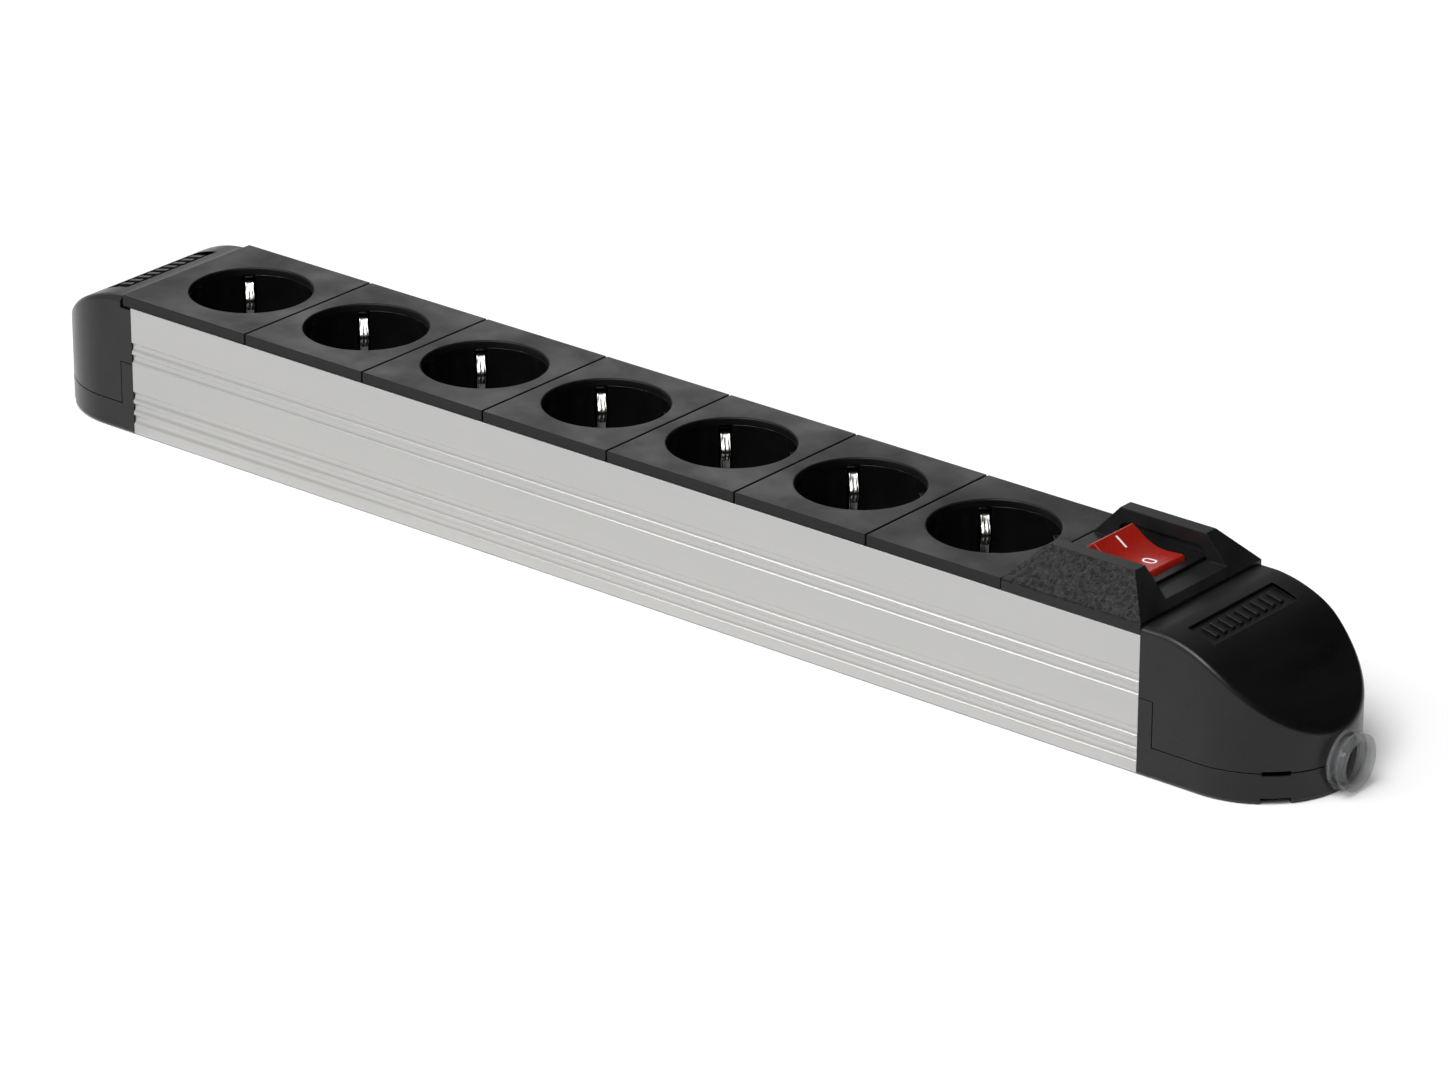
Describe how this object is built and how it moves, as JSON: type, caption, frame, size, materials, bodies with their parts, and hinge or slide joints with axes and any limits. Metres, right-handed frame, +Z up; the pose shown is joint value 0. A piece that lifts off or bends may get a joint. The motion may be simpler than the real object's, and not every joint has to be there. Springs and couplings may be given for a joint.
{
  "type": "desk power strip",
  "caption": "Aluminium power strip with a row of round earthed sockets, a guarded red rocker switch and rounded black ends.",
  "frame": {"origin": "middle of the footprint, on the plane the strip stands on", "axes": "+X along the strip towards the cord end, +Z up"},
  "size_m": [0.501, 0.06, 0.058],
  "materials": {
    "anodised_aluminium": "satin, silver anodised",
    "matte_black": "matte, fine grain",
    "gloss_black": "glossy",
    "satin_black": "satin",
    "cap_black": "satin",
    "red_plastic": "glossy, translucent red",
    "clear_plastic": "clear",
    "nickel_plate": "bright nickel plate",
    "brass": "plain",
    "zinc_steel": "zinc plated",
    "spring_steel": "bright drawn",
    "insulator": "plain moulded",
    "lamp_glass": "clear, glow lamp"
  },
  "bodies": {
    "strip": {"aluminium_profile": "anodised_aluminium", "rail_carrier": "insulator", "live_rail": "brass", "neutral_rail": "brass", "earth_rail": "brass", "earth_screw": "zinc_steel", "switch_cover": "matte_black", "switch_housing": "satin_black", "live_supply_terminal": "brass", "neutral_supply_terminal": "brass", "live_load_terminal": "brass", "neutral_load_terminal": "brass", "indicator_lamp": "lamp_glass", "cable_end_base": "cap_black", "cable_end_hood": "cap_black", "cable_bushing": "clear_plastic", "cord_clamp": "insulator", "cord_clamp_screws": "zinc_steel", "blank_end_base": "cap_black", "blank_end_hood": "cap_black", "hood_screws": "zinc_steel", "profile_screws": "zinc_steel", "socket_cover_1": "matte_black", "socket_insert_1": "gloss_black", "earth_clip_1": "nickel_plate", "socket_cover_2": "matte_black", "socket_insert_2": "gloss_black", "earth_clip_2": "nickel_plate", "socket_cover_3": "matte_black", "socket_insert_3": "gloss_black", "earth_clip_3": "nickel_plate", "socket_cover_4": "matte_black", "socket_insert_4": "gloss_black", "earth_clip_4": "nickel_plate", "socket_cover_5": "matte_black", "socket_insert_5": "gloss_black", "earth_clip_5": "nickel_plate", "socket_cover_6": "matte_black", "socket_insert_6": "gloss_black", "earth_clip_6": "nickel_plate", "socket_cover_7": "matte_black", "socket_insert_7": "gloss_black", "earth_clip_7": "nickel_plate"},
    "rocker": {"rocker": "red_plastic", "live_plunger": "brass", "neutral_plunger": "brass", "plunger_springs": "spring_steel"},
    "live_lever": {"live_lever": "brass"},
    "neutral_lever": {"neutral_lever": "brass"}
  },
  "joints": [
    {"name": "rocker_tilt", "type": "hinge", "parent": "strip", "child": "rocker", "pos_m": [0.169, 0, 0.0462], "axis": [0, -1, 0], "range_deg": [0, 30]},
    {"name": "live_lever_tilt", "type": "hinge", "parent": "strip", "child": "live_lever", "pos_m": [0.169, 0.005, 0.0352], "axis": [0, 1, 0], "range_deg": [0, 12]},
    {"name": "neutral_lever_tilt", "type": "hinge", "parent": "strip", "child": "neutral_lever", "pos_m": [0.169, -0.005, 0.0352], "axis": [0, 1, 0], "range_deg": [0, 12]}
  ],
  "couplings": [
    {"joint": "live_lever_tilt", "follows": "rocker_tilt", "ratio": 0.4},
    {"joint": "neutral_lever_tilt", "follows": "rocker_tilt", "ratio": 0.4}
  ]
}
